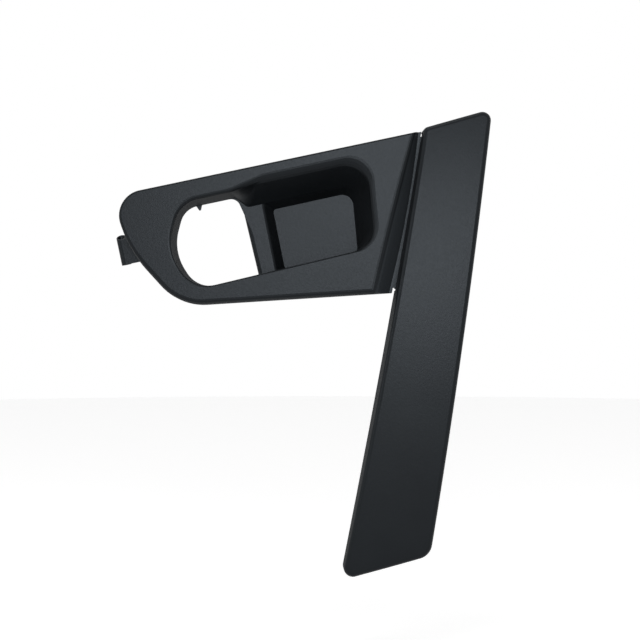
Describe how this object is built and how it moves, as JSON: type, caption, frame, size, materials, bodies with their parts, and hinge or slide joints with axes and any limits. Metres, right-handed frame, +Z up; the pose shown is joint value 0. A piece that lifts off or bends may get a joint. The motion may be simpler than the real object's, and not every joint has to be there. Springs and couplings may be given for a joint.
{
  "type": "interior door handle trim",
  "caption": "Black moulded inside door handle trim: a lever surround with a finger pocket, joined to a long pull strip cover.",
  "frame": {"origin": "foot of the lever surround's locating pin, in the plane of the door panel's face", "axes": "+Y into the door panel, along the locating pin; -Y towards the cabin; +Z up; +X to the right as the front is seen"},
  "size_m": [0.2321, 0.0385, 0.2855],
  "materials": {
    "moulded_black": "fine-grained satin black, moulded in colour",
    "spring_steel": "plain spring steel",
    "screw_steel": "zinc-plated"
  },
  "bodies": {
    "root": {"handle_bezel": "moulded_black", "pull_strip_cover": "moulded_black", "spring_clip_1": "spring_steel", "spring_clip_2": "spring_steel", "spring_clip_3": "spring_steel", "spring_clip_4": "spring_steel", "spring_clip_5": "spring_steel", "spring_clip_6": "spring_steel", "joining_screw_1": "screw_steel", "joining_screw_2": "screw_steel", "joining_screw_3": "screw_steel"}
  },
  "joints": []
}
